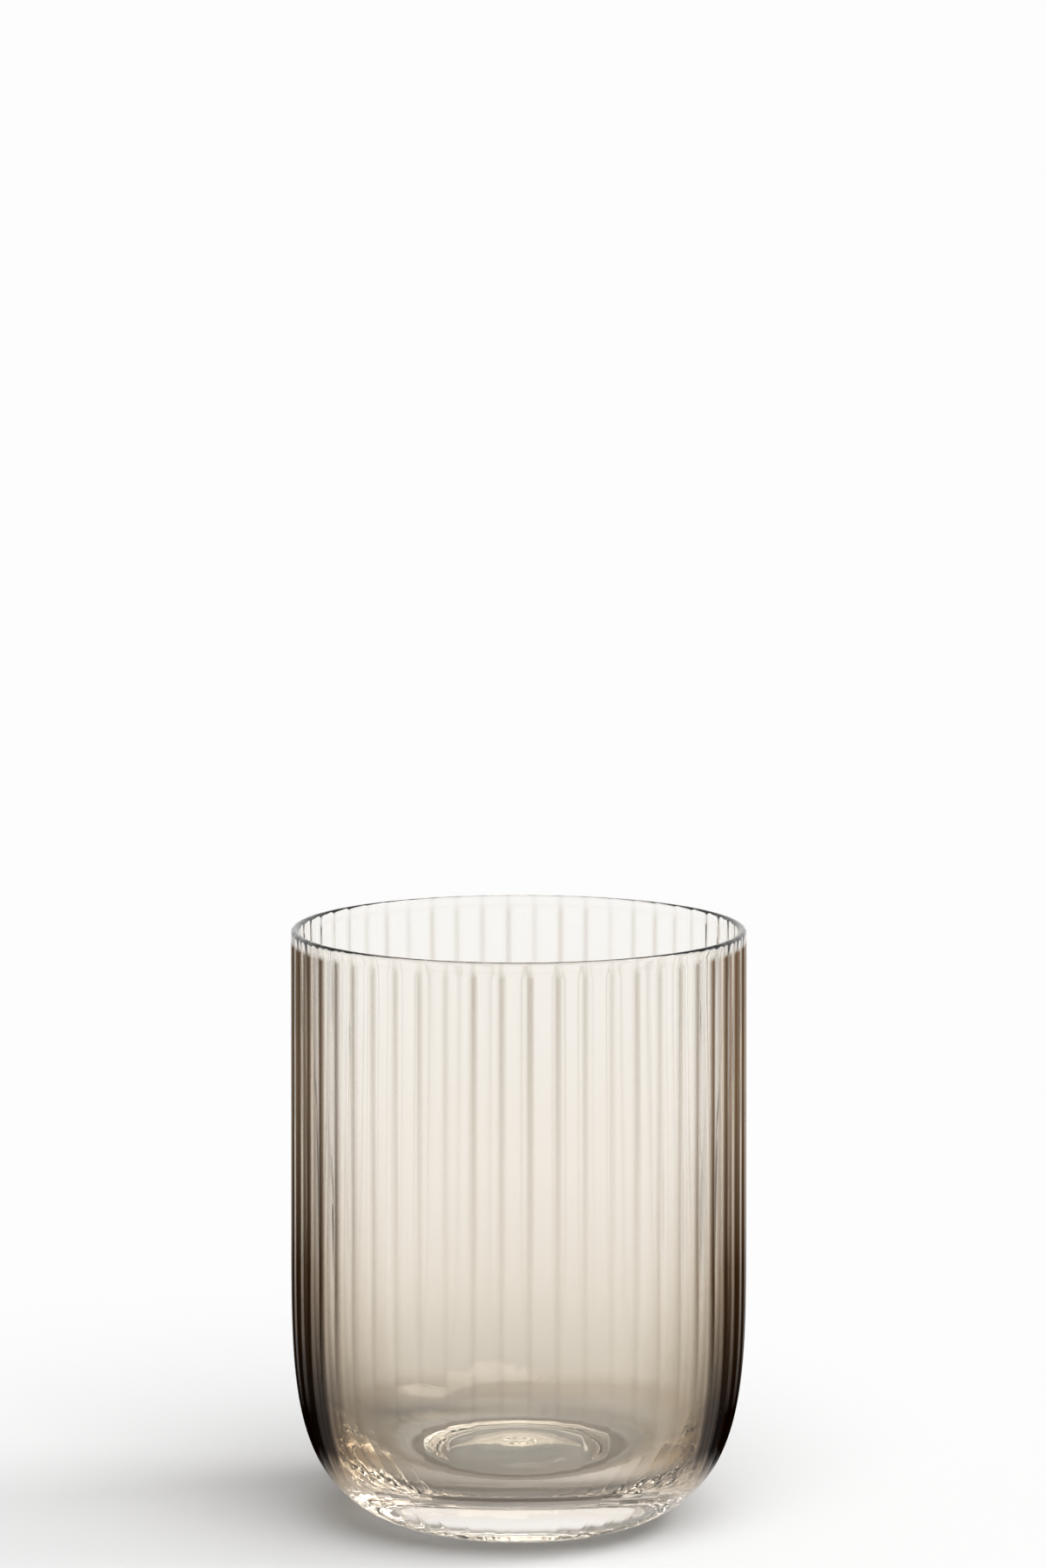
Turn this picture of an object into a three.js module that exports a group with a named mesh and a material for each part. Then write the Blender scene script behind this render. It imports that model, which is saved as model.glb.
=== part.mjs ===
// A reeded tumbler: a clear glass body with a heavy base, inside a thin smoke-brown casing that carries the reeds.
// Millimetres, +Z up, with the origin on the table at the centre of the foot.
import * as THREE from 'three';

// Driving dimensions of the outside.
const height = 100;
const rimRadius = 38;
const shoulderRadius = 38.2;
const cornerHeight = 42.5;
const footRadius = 20.3;
const footAngle = THREE.MathUtils.degToRad(15);
const footReach = 0.965;
const cornerReach = 0.54;

// The glass wall, the floor of the bowl and the hollow under the base.
const rimWall = 1.9;
const shoulderWall = 3.9;
const innerCornerHeight = 33;
const floorRadius = 20;
const baseThickness = 11.1;
const floorCrown = 1.5;
const floorPower = 3;
const floorReach = 0.66;
const innerCornerReach = 0.47;
const puntRadius = 15.4;
const puntDepth = 4.6;
const puntPower = 3.8;

// The casing and its reeds.
const casingThickness = 0.9;
const reedCount = 52;
const reedDepth = 0.36;
const reedRunOut = 1.2;
const reedFullHeight = 55;
const reedTurn = THREE.MathUtils.degToRad(-4.2);
const lipHeight = 1.6;
const footBand = 1.2;

// How much of the reeds' depth is left at some heights: they melt away round the corner and return faintly under it.
const reedLeft = [[3, 0.3], [8, 0.2], [15, 0.06], [28, 0.06], [42, 0.4], [reedFullHeight, 1]];

// How finely the round shapes are divided.
const pointsPerReed = 4;
const bodySegments = 2 * reedCount;
const cornerSteps = 7;
const innerSteps = 6;
const domeSteps = 3;
const lipSteps = 6;
const puntSteps = 4;

const lipRound = rimWall / 2;
const lipSeat = height - lipHeight;
const floorEdge = baseThickness - floorCrown;
const point = (radius, z) => new THREE.Vector2(radius, z);

// The outer corner leaves the foot at a shallow angle and meets the wall upright.
function outerCorner() {
  const reach = footReach * (shoulderRadius - footRadius);
  return new THREE.CubicBezierCurve(
    point(footRadius, 0),
    point(footRadius + reach * Math.cos(footAngle), reach * Math.sin(footAngle)),
    point(shoulderRadius, cornerHeight * (1 - cornerReach)),
    point(shoulderRadius, cornerHeight),
  );
}

// The inner corner leaves the wall upright and runs out level into the edge of the bowl's floor.
function innerCorner() {
  const wallRadius = shoulderRadius - shoulderWall;
  const drop = innerCornerHeight - floorEdge;
  return new THREE.CubicBezierCurve(
    point(wallRadius, innerCornerHeight),
    point(wallRadius, innerCornerHeight - innerCornerReach * drop),
    point(floorRadius + floorReach * (wallRadius - floorRadius), floorEdge),
    point(floorRadius, floorEdge),
  );
}

// The floor of the bowl, a low flat-topped dome, from its edge in to the axis.
function floorDome() {
  const points = [];
  for (let step = 1; step <= domeSteps; step += 1) {
    const share = 1 - step / domeSteps;
    points.push(point(floorRadius * share, floorEdge + floorCrown * (1 - share ** floorPower) ** 2));
  }
  return points;
}

// Points on the outer corner from the casing's lower edge up, moved square into the glass by a depth.
function cornerPoints(depthAt) {
  const corner = outerCorner();
  const start = footBand / corner.getLength();
  const points = [];
  for (let step = 0; step <= cornerSteps; step += 1) {
    const along = start + ((1 - start) * step) / cornerSteps;
    const place = corner.getPointAt(along);
    const tangent = corner.getTangentAt(along);
    const depth = depthAt(place);
    points.push(point(place.x - depth * tangent.y, place.y + depth * tangent.x));
  }
  return points;
}

// The radius of the straight wall at a height above the corner.
function wallRadiusAt(z) {
  const share = (z - cornerHeight) / (lipSeat - cornerHeight);
  return THREE.MathUtils.lerp(shoulderRadius, rimRadius, share);
}

// The face where the body and the casing are fused, from the casing's lower edge up to the lip.
function fusedFace() {
  return [...cornerPoints(() => casingThickness), point(rimRadius - casingThickness, lipSeat)];
}

// The hollow under the base, from the axis out to the foot.
function puntPoints() {
  const points = [];
  for (let step = 0; step <= puntSteps; step += 1) {
    const share = step / puntSteps;
    points.push(point(puntRadius * share, puntDepth * (1 - share ** puntPower)));
  }
  return points;
}

// A closed outline turned about the upright axis, with Z up.
function turned(points, segments) {
  const geometry = new THREE.LatheGeometry(points, segments);
  geometry.rotateX(Math.PI / 2);
  return geometry;
}

function glassMaterial(colour, opacity) {
  return new THREE.MeshStandardMaterial({
    color: colour,
    roughness: 0.03,
    metalness: 0,
    transparent: true,
    opacity,
  });
}

// The clear body: foot, base and bowl, with a seat for the casing between the foot and the lip.
function clearBody() {
  const corner = outerCorner();
  const lip = new THREE.EllipseCurve(rimRadius - lipRound, height - lipRound, lipRound, lipRound, 0, Math.PI);
  const outline = [
    ...puntPoints(),
    point(footRadius, 0),
    corner.getPointAt(footBand / corner.getLength()),
    ...fusedFace(),
    point(rimRadius, lipSeat),
    ...lip.getPoints(lipSteps),
    ...innerCorner().getPoints(innerSteps),
    ...floorDome(),
  ];
  const mesh = new THREE.Mesh(turned(outline, bodySegments), glassMaterial(0xe4e8e0, 0.35));
  mesh.name = 'clear_glass_body';
  return mesh;
}

// How far a reed lies below its crest, from 0 at the crest to 1 in the groove between two reeds.
function reedDip(angle) {
  return 1 - Math.abs(Math.sin((reedCount * angle) / 2));
}

// How much of the reeds' depth is left at a height.
function reedLeftAt(z) {
  const above = reedLeft.findIndex(([level]) => level > z);
  if (above < 0) return 1;
  if (above === 0) return reedLeft[0][1];
  const [low, lowShare] = reedLeft[above - 1];
  const [high, highShare] = reedLeft[above];
  return THREE.MathUtils.lerp(lowShare, highShare, (z - low) / (high - low));
}

// A line up the casing's outside, pressed in by a share of the reeds' depth, and smooth again at the lip.
function reedLine(share) {
  const depthAt = (place) => (share * reedDepth * reedLeftAt(place.y) * place.x) / shoulderRadius;
  const wall = [reedFullHeight, lipSeat - reedRunOut].map((z) => point(wallRadiusAt(z), z));
  return [
    ...cornerPoints(depthAt),
    ...wall.map((place) => point(place.x - depthAt(place), place.y)),
    point(rimRadius, lipSeat),
  ];
}

// The smoke casing: its inner face lies on the body, and its outer face is pressed into reeds.
function smokeCasing() {
  const crest = reedLine(0);
  const groove = reedLine(1);
  const outline = [...crest, ...fusedFace().reverse(), crest[0]];
  const geometry = turned(outline, reedCount * pointsPerReed);
  const position = geometry.getAttribute('position');
  for (let vertex = 0; vertex < position.count; vertex += 1) {
    const ring = (vertex % outline.length) % (outline.length - 1);
    if (ring < crest.length) {
      const angle = Math.atan2(position.getY(vertex), position.getX(vertex));
      const place = crest[ring].clone().lerp(groove[ring], reedDip(angle));
      position.setXYZ(vertex, place.x * Math.cos(angle), place.x * Math.sin(angle), place.y);
    }
  }
  const mesh = new THREE.Mesh(geometry, glassMaterial(0x9c8a74, 0.45));
  mesh.name = 'smoke_casing';
  return mesh;
}

const tumbler = new THREE.Group();
tumbler.add(clearBody(), smokeCasing());
tumbler.rotation.z = reedTurn;

export default tumbler;
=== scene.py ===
# Looks of a reeded smoke-glass tumbler: a clear glass body fused inside a thin smoke-brown reeded casing.
import math

import bmesh
import bpy
import numpy as np
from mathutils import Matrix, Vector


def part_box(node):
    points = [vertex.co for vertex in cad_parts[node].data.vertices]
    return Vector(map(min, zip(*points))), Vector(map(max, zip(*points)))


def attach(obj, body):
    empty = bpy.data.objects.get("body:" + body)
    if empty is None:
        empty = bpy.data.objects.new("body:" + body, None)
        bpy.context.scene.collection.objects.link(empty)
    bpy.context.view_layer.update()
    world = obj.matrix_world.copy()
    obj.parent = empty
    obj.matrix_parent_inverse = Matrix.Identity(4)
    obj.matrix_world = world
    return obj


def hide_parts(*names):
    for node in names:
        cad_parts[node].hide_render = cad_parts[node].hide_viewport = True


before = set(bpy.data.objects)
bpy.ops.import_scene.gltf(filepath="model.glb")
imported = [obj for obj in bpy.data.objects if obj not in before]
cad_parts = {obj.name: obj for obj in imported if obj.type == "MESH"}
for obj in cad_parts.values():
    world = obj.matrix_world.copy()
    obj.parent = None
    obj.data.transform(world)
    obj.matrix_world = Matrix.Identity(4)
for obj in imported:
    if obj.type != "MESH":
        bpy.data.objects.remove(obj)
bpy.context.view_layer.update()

# The body and the casing in metres, as in the CAD part, except that the rim's wall is thinner.
MM = 0.001
_, BODY_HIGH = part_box("clear_glass_body")
HEIGHT = BODY_HIGH.z
RIM_RADIUS = BODY_HIGH.x
SHOULDER_RADIUS = 38.2 * MM
CORNER_HEIGHT = 42.5 * MM
FOOT_RADIUS = 20.3 * MM
FOOT_ANGLE = math.radians(15)
FOOT_REACH = 0.965
CORNER_REACH = 0.54
RIM_WALL = 1.3 * MM
SHOULDER_WALL = 3.9 * MM
INNER_CORNER_HEIGHT = 33 * MM
FLOOR_RADIUS = 20 * MM
BASE_THICKNESS = 11.1 * MM
FLOOR_CROWN = 1.5 * MM
FLOOR_POWER = 3
FLOOR_REACH = 0.66
INNER_CORNER_REACH = 0.47
PUNT_RADIUS = 15.4 * MM
PUNT_DEPTH = 4.6 * MM
PUNT_POWER = 3.8
LIP_HEIGHT = 1.6 * MM
LIP_SEAT = HEIGHT - LIP_HEIGHT
LIP_ROUND = RIM_WALL / 2
FOOT_BAND = 1.2 * MM
CASING_THICKNESS = 0.9 * MM
FUSED_GAP = 0.01 * MM

# The reeds, shallower than in the CAD part. Widths and places are shares of a reed, with its groove at 0.
REED_COUNT = 52
REED_TURN = math.radians(-4.2)
REED_DEPTH = 0.18 * MM
REED_LOBE_SHARE = 0.5
REED_RUN_OUT = 1.2 * MM
REED_LEFT_AT_LIP = 0.75
GROOVE_WIDTH = 0.17

# How the reeds differ from one to the next, in the depth and in the place of their grooves.
GROOVE_UNEVEN = 0.4
DEPTH_WAVE = 2.4
REED_SHIFT = 0.05
SHIFT_WAVE = 4.1
WAVE_RATIO = 1.7

# How much of the reeds' depth is left at some heights: the thick glass round the corner smooths them out.
REED_FADE_HEIGHTS = (0, 3 * MM, 8 * MM, 15 * MM, 26 * MM, 36 * MM, 45 * MM, 55 * MM)
REED_FADE_SHARES = (0.45, 0.45, 0.3, 0.15, 0.15, 0.5, 0.8, 1)

# How finely the meshes are divided. The steps of a reed lie closest together in its groove.
REED_STEPS = (
    -0.37, -0.26, -0.17, -0.115, -0.075, -0.0375, 0,
    0.0375, 0.075, 0.115, 0.17, 0.26, 0.37, 0.5,
)
AROUND = REED_COUNT * len(REED_STEPS)
CURVE_STEPS = 2000
CORNER_RINGS = 60
FUSED_RINGS = CORNER_RINGS // 2
WALL_RINGS = 10
RUN_OUT_RINGS = 10
LIP_RINGS = 14
INNER_RINGS = 60
FLOOR_RINGS = 24
PUNT_RINGS = 24
FOOT_RINGS = 4
BAND_RINGS = 5
LEVEL_NORMAL = (1.0, 0.0)
POLE_GAP = 0.0005 * MM
SHARP_EDGE = math.radians(60)

# The order of a piece's materials: its own glass, its fused face and, on the body, the lip's smoke glass.
OWN_GLASS = 0
FUSED_FACE = 1
LIP_SMOKE = 2

GLASS_IOR = 1.52
WHITE = (1, 1, 1)
# What one crossing of the smoke layer leaves of red, green and blue, by its height as a share of the glass's.
# The deeper band from 0.13 to 0.32 is partly smoke and partly painted shade of the floor's shadow seen
# through the lower wall.
SMOKE_LAYER_AND_SHADE = (
    (0.014, WHITE), (0.025, (0.89, 0.85, 0.78)), (0.035, (0.94, 0.91, 0.86)), (0.045, (0.99, 0.98, 0.97)),
    (0.08, (0.98, 0.965, 0.945)), (0.13, (0.9, 0.86, 0.81)), (0.2, (0.82, 0.78, 0.71)),
    (0.32, (0.873, 0.828, 0.768)), (0.5, (0.957, 0.93, 0.9)), (1, (0.995, 0.993, 0.99)),
)
# The same for the casing's fused face: faint smoke high up, and a band of painted shade from 0.1 to 0.13 of
# the height. The body's is plain.
FUSED_TINT_AND_SHADE = (
    (0.06, WHITE), (0.1, (0.94, 0.905, 0.86)), (0.13, (0.94, 0.905, 0.86)), (0.2, WHITE), (0.4, WHITE),
    (0.6, (0.985, 0.975, 0.96)), (1, (0.985, 0.975, 0.96)),
)
PLAIN_FACE = ((0, WHITE), (1, WHITE))
# The colours from here on are base colours, which are the squares of what one crossing leaves.
# The smoke glass between the lines, and in the lines by the distance from a groove: the lines are painted
# shade along the grooves.
SMOKE_TINT = (0.985, 0.97, 0.95)
GROOVE_PAINTED_SHADE = (
    (0, (0.4, 0.35, 0.28)), (0.05, (0.45, 0.4, 0.32)), (0.09, (0.66, 0.61, 0.54)), (0.14, (0.88, 0.85, 0.8)),
    (0.24, (0.98, 0.975, 0.965)), (0.36, (1, 0.995, 0.985)),
)
# How strongly the painted groove shade shows by height, how much weaker some lines are, and the share left
# when seen from inside.
GROOVE_SHADE_SHOWN = (
    (0.14, 0), (0.3, 0.2), (0.5, 0.45), (0.75, 0.75), (0.93, 1), (0.972, 1), (0.986, 0.45), (1, 0.25),
)
LINE_UNEVEN = 0.55
FAR_LINES = 0.6
# The clear glass by height, and by radius as a share of the rim's: a ring of painted shade at the foot, and
# another above these heights round the inner corner.
CLEAR_TINT = ((0.975, (0.985, 0.99, 0.98)), (0.985, (0.955, 0.94, 0.915)))
FOOT_PAINTED_SHADE = ((0.42, WHITE), (0.44, (0.3, 0.24, 0.185)), (0.5, (0.3, 0.24, 0.185)), (0.53, WHITE))
CORNER_PAINTED_SHADE = ((0.55, WHITE), (0.6, (0.76, 0.71, 0.64)), (0.775, (0.76, 0.71, 0.64)), (0.82, WHITE))
FOOT_RISE = (0.002, 0.004)

# Painted shade in the smoke glass seen edge on: dark bars with lighter crests, their colour and how opaque
# they are, by distance from a groove.
EDGE_BAR_SHADE = (
    (0.25, (0.28, 0.205, 0.15)), (0.34, (0.42, 0.33, 0.25)),
    (0.43, (0.72, 0.63, 0.54)), (0.5, (0.88, 0.81, 0.73)),
)
EDGE_BAR_SHADE_OPAQUE = ((0.24, 1), (0.33, 0.9), (0.42, 0.45), (0.5, 0.2))
# How strongly the painted shade bars show by how far the glass turns sideways, and the heights over which
# they end.
EDGE_BAR_SHADE_SHOWN = ((0.25, 0), (0.38, 0.2), (0.47, 0.6), (0.56, 0.95), (0.65, 1))
EDGE_BAR_SHADE_TOP = (0.985, 0.975)
# The share of light that the glass leaves by how far it turns sideways, at three heights of the wall: partly
# the longer path through the smoke seen edge on, partly painted shade on the edges.
LOW_EDGE_SHADE = ((0.1, 1), (0.2, 0.8), (0.29, 0.65), (0.374, 0.45), (0.457, 0.24), (0.525, 0.12), (1, 0.1))
MIDDLE_EDGE_SHADE = ((0.15, 1), (0.25, 0.9), (0.374, 0.8), (0.457, 0.65), (0.525, 0.5), (0.61, 0.4), (1, 0.35))
HIGH_EDGE_SHADE = ((0.3, 1), (0.457, 0.95), (0.61, 0.88), (0.72, 0.82), (1, 0.8))
EDGE_HEIGHTS = (0.2, 0.45, 0.75)
# The heights over which the painted edge shade comes in above the foot, and how opaque it is low on the wall.
EDGE_START = (0, 0.15)
LOW_EDGE_SHADE_OPAQUE = ((0.45, 0), (0.55, 0.8), (0.65, 1))
# The least level share of a line of sight, so that a view straight down doesn't divide by nothing.
STEEPEST_SIGHT = 0.05
# Dark glass turns browner: these powers of the share are left of red, green and blue.
SMOKE_POWERS = (1, 1.18, 1.5)

# The studio: a pale floor in an even white surround that darkens towards the ceiling.
# A large soft lamp stands at the right front, and a smaller one that glints in the glass at the right.
# The surround and the two lamps share out a light of 1 on the floor.
SURROUND_LIGHT = 0.22
KEY_SHARE = 0.6
KEY_ANGLE = math.radians(60)
KEY_RISE = math.radians(60)
KEY_TURN = math.radians(25)
GLINT_SHARE = 0.18
GLINT_ANGLE = math.radians(24)
GLINT_RISE = math.radians(45)
GLINT_TURN = math.radians(95)
BACKDROP_TOP = math.sin(math.radians(20))
CEILING_START = math.sin(math.radians(33))
CEILING_LEVEL = 0.4
FLOOR_COLOUR = (0.98, 0.98, 0.98)
FLOOR_GAP = 0.25 * MM
FLOOR_SIZE = 60
FLOOR_SIDES = 96

# The photograph's frame and the camera that fits its outline.
PHOTO_HEIGHT_PX = 1800
PHOTO_CENTRE_PX = (600, 900)
AIM_PX = (595.5, 1405.4)
FOCAL_PX = 7262
AIM_HEIGHT = 49.65 * MM
VIEW_DISTANCE = 1.064
VIEW_ELEVATION = math.radians(11.365)
SENSOR_MM = 36
NEAREST_SEEN = 0.01

# How often light may pass or be mirrored by glass, and pass the fused faces.
GLASS_BOUNCES = 32
MIRROR_BOUNCES = 16
FUSED_BOUNCES = 64


def bezier(corners, count):
    """Points on a cubic curve with these four corner points."""
    a, b, c, d = (np.array(p) for p in corners)
    t = np.linspace(0, 1, count)[:, None]
    return a * (1 - t) ** 3 + 3 * b * t * (1 - t) ** 2 + 3 * c * t ** 2 * (1 - t) + d * t ** 3


def outer_corner():
    """Fine points on the outer corner from the foot's edge up to the wall, with the length along it."""
    reach = FOOT_REACH * (SHOULDER_RADIUS - FOOT_RADIUS)
    fine = bezier((
        (FOOT_RADIUS, 0),
        (FOOT_RADIUS + reach * math.cos(FOOT_ANGLE), reach * math.sin(FOOT_ANGLE)),
        (SHOULDER_RADIUS, CORNER_HEIGHT * (1 - CORNER_REACH)),
        (SHOULDER_RADIUS, CORNER_HEIGHT),
    ), CURVE_STEPS)
    along = np.concatenate([[0], np.cumsum(np.linalg.norm(np.diff(fine, axis=0), axis=1))])
    return fine, along


def corner_points(start, stop, count):
    """Points on the outer corner between two lengths along it, with their outward normals."""
    fine, along = outer_corner()
    stop = along[-1] if stop is None else stop
    wanted = np.linspace(start, stop, count)
    points = np.stack([np.interp(wanted, along, fine[:, k]) for k in (0, 1)], axis=1)
    tangents = np.stack([np.interp(wanted, along, np.gradient(fine[:, k], along)) for k in (0, 1)], axis=1)
    tangents /= np.linalg.norm(tangents, axis=1)[:, None]
    normals = np.stack([tangents[:, 1], -tangents[:, 0]], axis=1)
    return points, normals


def outer_line():
    """The reeds' crest line up the casing, with its normals and the reeds' depth at each point."""
    corner, corner_normals = corner_points(FOOT_BAND, None, CORNER_RINGS)
    reed_top = LIP_SEAT - REED_RUN_OUT
    rises = np.concatenate([
        np.linspace(CORNER_HEIGHT, reed_top, WALL_RINGS)[1:],
        np.linspace(reed_top, LIP_SEAT, RUN_OUT_RINGS)[1:],
    ])
    share = (rises - CORNER_HEIGHT) / (LIP_SEAT - CORNER_HEIGHT)
    wall = np.stack([SHOULDER_RADIUS + (RIM_RADIUS - SHOULDER_RADIUS) * share, rises], axis=1)
    points = np.vstack([corner, wall])
    normals = np.vstack([corner_normals, np.tile(LEVEL_NORMAL, (len(wall), 1))])
    fade = np.clip((LIP_SEAT - points[:, 1]) / REED_RUN_OUT, 0, 1)
    fade = REED_LEFT_AT_LIP + (1 - REED_LEFT_AT_LIP) * fade * fade * (3 - 2 * fade)
    left = np.interp(points[:, 1], REED_FADE_HEIGHTS, REED_FADE_SHARES)
    depths = REED_DEPTH * points[:, 0] / SHOULDER_RADIUS * fade * left
    return points, normals, depths


def fused_line(depth):
    """The face between the body and the casing, at a depth under the crests, from the foot up to the lip."""
    corner, normals = corner_points(FOOT_BAND, None, FUSED_RINGS)
    top = np.array([[RIM_RADIUS - depth, LIP_SEAT]])
    return np.vstack([corner - depth * normals, top])


def inner_line():
    """The inside of the bowl from the lip down to the middle of its floor."""
    wall_radius = SHOULDER_RADIUS - SHOULDER_WALL
    floor_edge = BASE_THICKNESS - FLOOR_CROWN
    drop = INNER_CORNER_HEIGHT - floor_edge
    corner = bezier((
        (wall_radius, INNER_CORNER_HEIGHT),
        (wall_radius, INNER_CORNER_HEIGHT - INNER_CORNER_REACH * drop),
        (FLOOR_RADIUS + FLOOR_REACH * (wall_radius - FLOOR_RADIUS), floor_edge),
        (FLOOR_RADIUS, floor_edge),
    ), INNER_RINGS)
    top = np.array([RIM_RADIUS - RIM_WALL, HEIGHT - LIP_ROUND])
    wall = np.linspace(top, corner[0], WALL_RINGS)[1:-1]
    share = np.linspace(1, 0, FLOOR_RINGS)[1:]
    dome = FLOOR_CROWN * (1 - share ** FLOOR_POWER) ** 2
    floor = np.stack([FLOOR_RADIUS * share, floor_edge + dome], axis=1)
    return np.vstack([wall, corner, floor])


def lip_line():
    """The round lip from its outside over the top to its inside."""
    turn = np.linspace(0, math.pi, LIP_RINGS)
    centre = np.array([RIM_RADIUS - LIP_ROUND, HEIGHT - LIP_ROUND])
    return centre + LIP_ROUND * np.stack([np.cos(turn), np.sin(turn)], axis=1)


def under_line():
    """The hollow under the base and the flat foot round it, from the axis outwards."""
    share = np.linspace(0, 1, PUNT_RINGS)
    punt = np.stack([PUNT_RADIUS * share, PUNT_DEPTH * (1 - share ** PUNT_POWER)], axis=1)
    foot = np.linspace((PUNT_RADIUS, 0), (FOOT_RADIUS, 0), FOOT_RINGS)[1:]
    band, _ = corner_points(0, FOOT_BAND, BAND_RINGS)
    return np.vstack([punt, foot, band[1:]])


def reed_turns():
    """The angles of the mesh all round, closest together in the grooves."""
    reeds = np.arange(REED_COUNT)[:, None] + np.array(REED_STEPS)
    return reeds.ravel() * 2 * math.pi / REED_COUNT + REED_TURN


def uneven(count, step):
    """A row of numbers from -1 to 1 that differ without a pattern, as the reeds of blown glass do."""
    return np.sin(np.arange(count) * step) * np.cos(np.arange(count) * step * WAVE_RATIO)


def reed_dip():
    """How far the surface lies below the crests all round, from 0 on a crest to 1 in a narrow groove."""
    place = np.tile(REED_STEPS, REED_COUNT)
    depth = 1 - GROOVE_UNEVEN * np.abs(uneven(REED_COUNT, DEPTH_WAVE))
    moved = REED_SHIFT * uneven(REED_COUNT, SHIFT_WAVE)
    lobe = (1 - 2 * np.abs(place)) ** 2
    groove = np.exp(-((place - np.repeat(moved, len(REED_STEPS))) / GROOVE_WIDTH) ** 2)
    return REED_LOBE_SHARE * lobe + (1 - REED_LOBE_SHARE) * groove * np.repeat(depth, len(REED_STEPS))


def turned_mesh(name, rings, depths, normals, slots, closed):
    """A mesh turned about the upright axis from an outline, pressed in along its normals by the reeds."""
    turn = reed_turns()
    dip = reed_dip()
    radius = rings[:, 0][:, None] - (depths * normals[:, 0])[:, None] * dip
    height = rings[:, 1][:, None] - (depths * normals[:, 1])[:, None] * dip
    grid = np.stack([radius * np.cos(turn), radius * np.sin(turn), height], axis=2).reshape(-1, 3)
    count = len(rings)
    faces, face_slots = [], []
    across = np.arange(AROUND)
    beside = (across + 1) % AROUND
    last = count if closed else count - 1
    for ring in range(last):
        low, high = ring * AROUND, ((ring + 1) % count) * AROUND
        band = np.stack([low + across, low + beside, high + beside, high + across], axis=1)
        faces.append(band)
        face_slots.append(np.full(AROUND, slots[ring]))
    mesh = bpy.data.meshes.new(name)
    mesh.from_pydata(grid.tolist(), [], np.vstack(faces).tolist())
    mesh.polygons.foreach_set("material_index", np.concatenate(face_slots).astype(np.int32))
    return mesh


def close_poles(mesh):
    """Joins the points that lie on the axis and removes the faces that collapse there."""
    edit = bmesh.new()
    edit.from_mesh(mesh)
    bmesh.ops.remove_doubles(edit, verts=edit.verts, dist=POLE_GAP)
    edit.to_mesh(mesh)
    edit.free()


def smooth(mesh):
    """Shades a mesh as smooth, apart from its sharp edges."""
    mesh.shade_smooth()
    mesh.set_sharp_from_angle(angle=SHARP_EDGE)


def add_piece(mesh, materials, node):
    """Adds a mesh as the piece that stands for a CAD node."""
    piece = bpy.data.objects.new(mesh.name, mesh)
    bpy.context.scene.collection.objects.link(piece)
    for material in materials:
        mesh.materials.append(material)
    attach(piece, "root")
    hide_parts(node)


def new_material(name):
    """A new material with its nodes, links and main shader."""
    material = bpy.data.materials.new(name)
    material.use_nodes = True
    nodes = material.node_tree.nodes
    return material, nodes, material.node_tree.links, nodes["Principled BSDF"]


def ramp(nodes, stops):
    """A colour ramp with these positions and colours."""
    node = nodes.new("ShaderNodeValToRGB")
    points = node.color_ramp.elements
    while len(points) < len(stops):
        points.new(0.5)
    for point, (position, colour) in zip(points, stops):
        point.position = position
        point.color = (*colour, 1)
    return node


def maths(nodes, links, operation, first, second=None):
    """A maths node on a socket and on another socket or a number."""
    node = nodes.new("ShaderNodeMath")
    node.operation = operation
    links.new(first, node.inputs[0])
    if isinstance(second, (int, float)):
        node.inputs[1].default_value = second
    elif second is not None:
        links.new(second, node.inputs[1])
    return node.outputs[0]


def less(nodes, links, number, socket):
    """A number less a socket's value."""
    node = nodes.new("ShaderNodeMath")
    node.operation = "SUBTRACT"
    node.inputs[0].default_value = number
    links.new(socket, node.inputs[1])
    return node.outputs[0]


def multiply(nodes, links, first, second):
    """The product of two colours."""
    node = nodes.new("ShaderNodeMix")
    node.data_type = "RGBA"
    node.blend_type = "MULTIPLY"
    node.inputs["Factor"].default_value = 1
    links.new(first, node.inputs["A"])
    links.new(second, node.inputs["B"])
    return node.outputs["Result"]


def object_place(nodes, links):
    """The sockets of the place on the glass: across, deep and up."""
    place = nodes.new("ShaderNodeTexCoord")
    split = nodes.new("ShaderNodeSeparateXYZ")
    links.new(place.outputs["Object"], split.inputs[0])
    return split.outputs


def groove_distance(nodes, links, place):
    """How far round the glass a place lies from the nearest groove, from 0 to 0.5 on a crest.

    Also gives a chance number from 0 to 1 that is each groove's own.
    """
    turn = maths(nodes, links, "ARCTAN2", place["Y"], place["X"])
    reeds = maths(nodes, links, "MULTIPLY", turn, REED_COUNT / (2 * math.pi))
    # One turn more keeps the count above 0, and half a reed more puts each groove between two whole numbers.
    moved = maths(nodes, links, "ADD", reeds, REED_COUNT - REED_TURN * REED_COUNT / (2 * math.pi) + 0.5)
    within = maths(nodes, links, "FRACT", moved)
    noise = nodes.new("ShaderNodeTexWhiteNoise")
    noise.noise_dimensions = "1D"
    links.new(maths(nodes, links, "FLOOR", moved), noise.inputs["W"])
    distance = maths(nodes, links, "ABSOLUTE", maths(nodes, links, "SUBTRACT", within, 0.5))
    return distance, noise.outputs["Value"]


def facing_weight(nodes):
    """A node that tells how far a direction turns from the eye, from 0 straight at it to 1 across."""
    node = nodes.new("ShaderNodeLayerWeight")
    # At this blend it is 1 less the cosine of the angle.
    node.inputs["Blend"].default_value = 0.5
    return node


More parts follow.
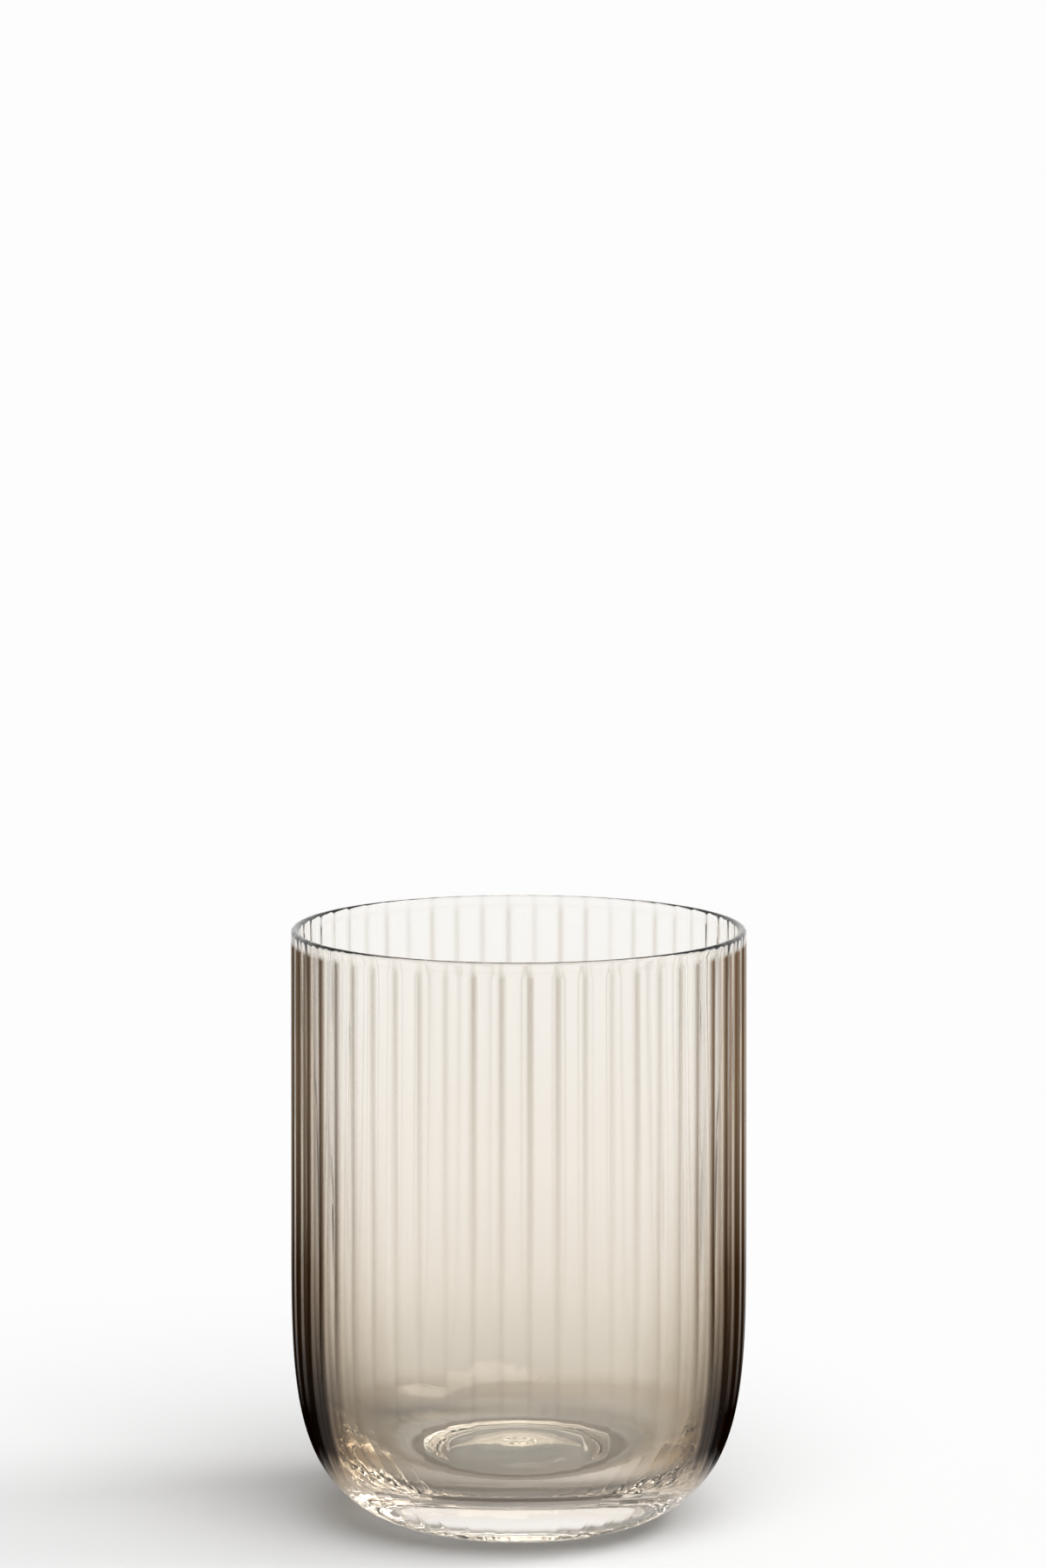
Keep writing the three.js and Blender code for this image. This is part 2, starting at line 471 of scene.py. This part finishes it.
def sideways_facing(nodes, links):
    """How far the surface turns sideways from the eye, from 0 square on to 1 edge on, at any eye height."""
    geometry = nodes.new("ShaderNodeNewGeometry")
    split = nodes.new("ShaderNodeSeparateXYZ")
    level = nodes.new("ShaderNodeCombineXYZ")
    unit = nodes.new("ShaderNodeVectorMath")
    unit.operation = "NORMALIZE"
    links.new(geometry.outputs["Normal"], split.inputs[0])
    links.new(split.outputs["X"], level.inputs["X"])
    links.new(split.outputs["Y"], level.inputs["Y"])
    links.new(level.outputs[0], unit.inputs[0])
    across = facing_weight(nodes)
    links.new(unit.outputs[0], across.inputs["Normal"])
    upright = nodes.new("ShaderNodeCombineXYZ")
    upright.inputs["Z"].default_value = 1
    above = facing_weight(nodes)
    links.new(upright.outputs[0], above.inputs["Normal"])
    steep = less(nodes, links, 1, above.outputs["Facing"])
    flat = maths(nodes, links, "SQRT", less(nodes, links, 1, maths(nodes, links, "MULTIPLY", steep, steep)))
    flat = maths(nodes, links, "MAXIMUM", flat, STEEPEST_SIGHT)
    square = maths(nodes, links, "DIVIDE", less(nodes, links, 1, across.outputs["Facing"]), flat)
    return less(nodes, links, 1, maths(nodes, links, "MINIMUM", square, 1))


def mix(nodes, links, factor, first, second):
    """A mix of two colours, each a socket or a colour, by a socket."""
    node = nodes.new("ShaderNodeMix")
    node.data_type = "RGBA"
    links.new(factor, node.inputs["Factor"])
    for name, colour in (("A", first), ("B", second)):
        if isinstance(colour, tuple):
            node.inputs[name].default_value = (*colour, 1)
        else:
            links.new(colour, node.inputs[name])
    return node.outputs["Result"]


def ramp_at(nodes, links, stops, socket):
    """The colour of a ramp at a socket's value; a stop may be a plain number, which stands for a grey."""
    colours = [(place, (c, c, c) if isinstance(c, (int, float)) else c) for place, c in stops]
    node = ramp(nodes, colours)
    links.new(socket, node.inputs["Fac"])
    return node.outputs["Color"]


def rise_share(nodes, links, place):
    """How high a place lies, as a share of the glass's height."""
    return maths(nodes, links, "DIVIDE", place["Z"], HEIGHT)


def radius_share(nodes, links, place):
    """How far a place lies from the upright axis, as a share of the rim's radius."""
    across = maths(nodes, links, "MULTIPLY", place["X"], place["X"])
    deep = maths(nodes, links, "MULTIPLY", place["Y"], place["Y"])
    radius = maths(nodes, links, "SQRT", maths(nodes, links, "ADD", across, deep))
    return maths(nodes, links, "DIVIDE", radius, RIM_RADIUS)


def between(nodes, links, socket, low, high):
    """How far a value has come from a low one to a high one, from 0 to 1."""
    node = nodes.new("ShaderNodeMapRange")
    node.inputs["From Min"].default_value = low
    node.inputs["From Max"].default_value = high
    links.new(socket, node.inputs["Value"])
    return node.outputs["Result"]


def edge_shade_stops(shares):
    """A ramp's stops for the shares of light that the painted edge shade leaves at one crossing; the shader
    takes their squares.
    """
    return [(turn, tuple(share ** (2 * power) for power in SMOKE_POWERS)) for turn, share in shares]


def layer_stops(colours):
    """A ramp's stops for the colours that one crossing leaves; the shader takes their squares."""
    return [(rise, tuple(share ** 2 for share in colour)) for rise, colour in colours]


def edge_painted_shade(nodes, links, facing, rise):
    """The painted shade of the glass where it is seen edge on, deepest low on the wall."""
    low, middle, high = EDGE_HEIGHTS
    low_shade, middle_shade, high_shade = (
        ramp_at(nodes, links, edge_shade_stops(shares), facing) for shares in (LOW_EDGE_SHADE, MIDDLE_EDGE_SHADE, HIGH_EDGE_SHADE)
    )
    tint = mix(nodes, links, between(nodes, links, rise, low, middle), low_shade, middle_shade)
    return mix(nodes, links, between(nodes, links, rise, middle, high), tint, high_shade)


def edge_painted_shade_clear(nodes, links, facing, rise, turned, distance):
    """How far the glass still lets light through where its outside is seen edge on, least in the grooves:
    painted shade makes it opaque and dark there.
    """
    low, _, high = EDGE_HEIGHTS
    opaque = ramp_at(nodes, links, LOW_EDGE_SHADE_OPAQUE, facing)
    opaque = maths(nodes, links, "MULTIPLY", opaque, between(nodes, links, rise, high, low))
    bars = maths(nodes, links, "MULTIPLY", ramp_at(nodes, links, EDGE_BAR_SHADE_OPAQUE, distance), turned)
    return less(nodes, links, 1, maths(nodes, links, "MAXIMUM", opaque, bars))


def smoke_glass():
    """Smoke-brown glass with painted shade: dark lines in the grooves, and dark, nearly opaque bars where it
    is seen edge on.
    """
    material, nodes, links, shader = new_material("smoke_glass")
    shader.inputs["Roughness"].default_value = 0
    shader.inputs["IOR"].default_value = GLASS_IOR
    shader.inputs["Specular IOR Level"].default_value = 0
    place = object_place(nodes, links)
    rise = rise_share(nodes, links, place)
    geometry = nodes.new("ShaderNodeNewGeometry")
    outside = less(nodes, links, 1, geometry.outputs["Backfacing"])
    facing = maths(nodes, links, "MULTIPLY", sideways_facing(nodes, links), outside)
    facing = maths(nodes, links, "MULTIPLY", facing, between(nodes, links, rise, *EDGE_START))
    distance, chance = groove_distance(nodes, links, place)
    # Painted shade: dark lines along the grooves, where the reeds' refraction darkens the glass.
    groove = ramp_at(nodes, links, GROOVE_PAINTED_SHADE, distance)
    strength = less(nodes, links, 1, maths(nodes, links, "MULTIPLY", chance, LINE_UNEVEN))
    # This range gives 1 from outside and FAR_LINES from inside.
    nearness = between(nodes, links, outside, -FAR_LINES / (1 - FAR_LINES), 1)
    strength = maths(nodes, links, "MULTIPLY", strength, nearness)
    shown = maths(nodes, links, "MULTIPLY", ramp_at(nodes, links, GROOVE_SHADE_SHOWN, rise), strength)
    lines = mix(nodes, links, shown, SMOKE_TINT, groove)
    # Painted shade where the glass is seen edge on: dark bars by the grooves and a dark edge.
    turned = ramp_at(nodes, links, EDGE_BAR_SHADE_SHOWN, facing)
    turned = maths(nodes, links, "MULTIPLY", turned, between(nodes, links, rise, *EDGE_BAR_SHADE_TOP))
    edge_bar_shade = mix(nodes, links, turned, WHITE, ramp_at(nodes, links, EDGE_BAR_SHADE, distance))
    tint = multiply(nodes, links, lines, edge_painted_shade(nodes, links, facing, rise))
    tint = multiply(nodes, links, tint, edge_bar_shade)
    # The smoke layer by height, with painted shade low on the wall.
    tint = multiply(nodes, links, tint, ramp_at(nodes, links, layer_stops(SMOKE_LAYER_AND_SHADE), rise))
    links.new(tint, shader.inputs["Base Color"])
    clear = edge_painted_shade_clear(nodes, links, facing, rise, turned, distance)
    links.new(clear, shader.inputs["Transmission Weight"])
    return material


def clear_glass():
    """Clear glass, faintly brown at the lip, with painted shade in a ring under the foot and round the inner
    corner.
    """
    material, nodes, links, shader = new_material("clear_glass")
    place = object_place(nodes, links)
    rise = rise_share(nodes, links, place)
    radius = radius_share(nodes, links, place)
    # Painted shade: a brown ring under the foot and another round the inner corner.
    foot = ramp_at(nodes, links, FOOT_PAINTED_SHADE, radius)
    corner = ramp_at(nodes, links, CORNER_PAINTED_SHADE, radius)
    shade_by_radius = mix(nodes, links, between(nodes, links, rise, *FOOT_RISE), foot, corner)
    by_rise = ramp_at(nodes, links, CLEAR_TINT, rise)
    links.new(multiply(nodes, links, by_rise, shade_by_radius), shader.inputs["Base Color"])
    shader.inputs["Roughness"].default_value = 0
    shader.inputs["IOR"].default_value = GLASS_IOR
    shader.inputs["Transmission Weight"].default_value = 1
    return material


def fused_face(name, tint):
    """The face where the two glasses are fused lets light straight through and tints it by its height."""
    material, nodes, links, shader = new_material(name)
    through = nodes.new("ShaderNodeBsdfTransparent")
    rise = rise_share(nodes, links, object_place(nodes, links))
    links.new(ramp_at(nodes, links, tint, rise), through.inputs["Color"])
    links.new(through.outputs[0], nodes["Material Output"].inputs["Surface"])
    nodes.remove(shader)
    return material


def make_casing(smoke):
    """The smoke casing: the reeded outside and the face that is fused to the body."""
    crest, normals, depths = outer_line()
    fused = fused_line(CASING_THICKNESS)[::-1]
    rings = np.vstack([crest, fused])
    depths = np.concatenate([depths, np.zeros(len(fused))])
    normals = np.vstack([normals, np.zeros((len(fused), 2))])
    slots = [OWN_GLASS] * (len(crest) - 1) + [FUSED_FACE] * (len(fused) + 1)
    mesh = turned_mesh("smoke_casing_glass", rings, depths, normals, slots, closed=True)
    smooth(mesh)
    # The casing's fused face carries a band of painted shade low on the wall.
    materials = (smoke, fused_face("fused_casing", FUSED_TINT_AND_SHADE))
    add_piece(mesh, materials, "smoke_casing")


def make_body(smoke):
    """The clear body: foot, fused face, lip and bowl; the reeds end in the foot's band and in the lip."""
    under = under_line()
    fused = fused_line(CASING_THICKNESS + FUSED_GAP)
    seat = np.array([[RIM_RADIUS, LIP_SEAT]])
    upper = np.vstack([seat, lip_line(), inner_line()])
    rings = np.vstack([under, fused, upper])
    depths = np.zeros(len(rings))
    seat_ring = len(under) + len(fused)
    lip_share = np.linspace(1, 0, 1 + LIP_RINGS)
    depths[seat_ring:seat_ring + len(lip_share)] = REED_DEPTH * REED_LEFT_AT_LIP * lip_share
    _, _, crest_depths = outer_line()
    depths[len(under) - 1] = crest_depths[0]
    normals = np.tile(LEVEL_NORMAL, (len(rings), 1))
    _, band_normals = corner_points(FOOT_BAND, None, CORNER_RINGS)
    normals[len(under) - 1] = band_normals[0]
    lip_outside = LIP_RINGS // 2
    slots = [OWN_GLASS] * (len(under) - 1) + [FUSED_FACE] * (len(fused) + 1)
    slots += [LIP_SMOKE] * lip_outside + [OWN_GLASS] * (len(upper) - 1 - lip_outside)
    mesh = turned_mesh("clear_body_glass", rings, depths, normals, slots, closed=False)
    close_poles(mesh)
    smooth(mesh)
    materials = (clear_glass(), fused_face("fused_body", PLAIN_FACE), smoke)
    add_piece(mesh, materials, "clear_glass_body")


def make_floor():
    """A pale floor, so wide that its far edge stays out of the picture."""
    bpy.ops.mesh.primitive_circle_add(
        vertices=FLOOR_SIDES, radius=FLOOR_SIZE, fill_type="TRIFAN", location=(0, 0, -FLOOR_GAP),
    )
    floor = bpy.context.object
    floor.name = "floor"
    material, _, _, shader = new_material("pale_floor")
    shader.inputs["Base Color"].default_value = (*FLOOR_COLOUR, 1)
    shader.inputs["Roughness"].default_value = 1
    shader.inputs["Specular IOR Level"].default_value = 0
    floor.data.materials.append(material)


def make_world():
    """An even surround: white where the eye sees it, also in and through the glass, and dimmer as a light."""
    world = bpy.data.worlds.new("studio")
    bpy.context.scene.world = world
    world.use_nodes = True
    nodes, links = world.node_tree.nodes, world.node_tree.links
    path = nodes.new("ShaderNodeLightPath")
    seen = maths(nodes, links, "MAXIMUM", path.outputs["Is Camera Ray"], path.outputs["Is Glossy Ray"])
    seen = maths(nodes, links, "MAXIMUM", seen, path.outputs["Is Transmission Ray"])
    # A ray that has left a matte surface counts as light.
    lit = maths(nodes, links, "GREATER_THAN", path.outputs["Diffuse Depth"], 0.5)
    seen = maths(nodes, links, "SUBTRACT", seen, lit)
    direction = nodes.new("ShaderNodeTexCoord")
    split = nodes.new("ShaderNodeSeparateXYZ")
    links.new(direction.outputs["Generated"], split.inputs[0])
    ceiling = nodes.new("ShaderNodeMapRange")
    ceiling.interpolation_type = "SMOOTHSTEP"
    ceiling.inputs["From Min"].default_value = BACKDROP_TOP
    ceiling.inputs["From Max"].default_value = CEILING_START
    ceiling.inputs["To Min"].default_value = 1
    ceiling.inputs["To Max"].default_value = CEILING_LEVEL
    links.new(split.outputs["Z"], ceiling.inputs["Value"])
    level = nodes.new("ShaderNodeMapRange")
    level.inputs["To Min"].default_value = SURROUND_LIGHT
    links.new(ceiling.outputs["Result"], level.inputs["To Max"])
    links.new(seen, level.inputs["Value"])
    background = nodes["Background"]
    background.inputs["Color"].default_value = (*WHITE, 1)
    links.new(level.outputs["Result"], background.inputs["Strength"])


def make_lamp(name, share, angle, rise, turn):
    """A soft far lamp that gives the floor a share of its light."""
    data = bpy.data.lights.new(name, "SUN")
    data.energy = share * math.pi / math.sin(rise)
    data.angle = angle
    lamp = bpy.data.objects.new(name, data)
    bpy.context.scene.collection.objects.link(lamp)
    lamp.rotation_euler = (math.pi / 2 - rise, 0, turn)
    return lamp


def make_lamps():
    """The two lamps; only the smaller one is mirrored in the glass."""
    key = make_lamp("key_lamp", KEY_SHARE, KEY_ANGLE, KEY_RISE, KEY_TURN)
    key.visible_glossy = False
    make_lamp("glint_lamp", GLINT_SHARE, GLINT_ANGLE, GLINT_RISE, GLINT_TURN)


def make_camera():
    """The photograph's camera, aimed a little above the glass, which so stands low in the frame."""
    drop = math.atan((AIM_PX[1] - PHOTO_CENTRE_PX[1]) / FOCAL_PX)
    aside = (PHOTO_CENTRE_PX[0] - AIM_PX[0]) / FOCAL_PX * VIEW_DISTANCE
    data = bpy.data.cameras.new("camera")
    data.sensor_width = SENSOR_MM
    data.sensor_fit = "AUTO"
    data.lens = FOCAL_PX * SENSOR_MM / PHOTO_HEIGHT_PX
    data.clip_start = NEAREST_SEEN
    camera = bpy.data.objects.new("camera", data)
    bpy.context.scene.collection.objects.link(camera)
    camera.location = (
        aside,
        -VIEW_DISTANCE * math.cos(VIEW_ELEVATION),
        AIM_HEIGHT + VIEW_DISTANCE * math.sin(VIEW_ELEVATION),
    )
    camera.rotation_euler = (math.pi / 2 - (VIEW_ELEVATION - drop), 0, 0)
    bpy.context.scene.camera = camera


# The smoke glass, with painted shade in its grooves and on its edges.
smoke = smoke_glass()
make_casing(smoke)
make_body(smoke)
make_floor()
make_world()
make_lamps()
make_camera()

scene = bpy.context.scene
scene.view_settings.view_transform = "Standard"
scene.cycles.max_bounces = GLASS_BOUNCES
scene.cycles.transmission_bounces = GLASS_BOUNCES
scene.cycles.glossy_bounces = MIRROR_BOUNCES
scene.cycles.transparent_max_bounces = FUSED_BOUNCES
